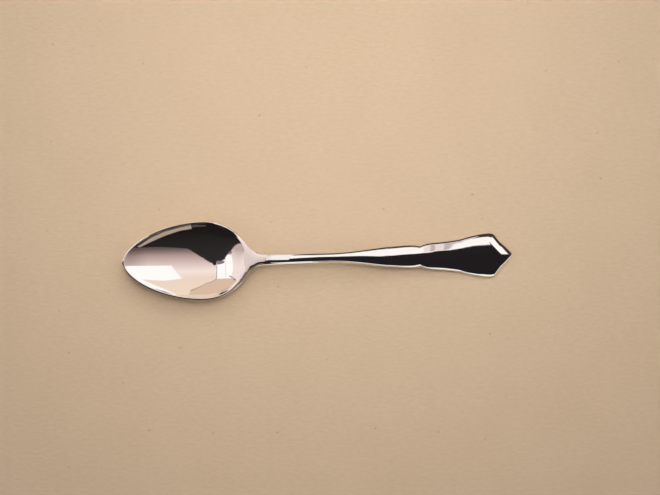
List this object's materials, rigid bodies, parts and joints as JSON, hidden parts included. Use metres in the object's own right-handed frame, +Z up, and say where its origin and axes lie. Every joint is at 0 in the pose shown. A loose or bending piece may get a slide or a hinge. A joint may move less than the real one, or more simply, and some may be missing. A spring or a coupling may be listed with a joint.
{
  "type": "demitasse spoon",
  "caption": "Small coffee spoon with a pointed egg-shaped bowl, a slim rounded stem and a flared handle with a scalloped, bevelled edge and pointed end.",
  "frame": {"origin": "on the table under the middle of the spoon's length, where it lies on the belly of its bowl and on the foot under the end of its handle", "axes": "+X from the tip of the bowl to the point of the handle, +Y to the left of that direction, +Z up from the table out of the bowl"},
  "size_m": [0.11, 0.0222, 0.0081],
  "materials": {
    "silver": "mirror-polished silver with a faintly warm tone and fine handling scratches"
  },
  "bodies": {
    "root": {"bowl": "silver", "stem": "silver", "handle": "silver"}
  },
  "joints": []
}
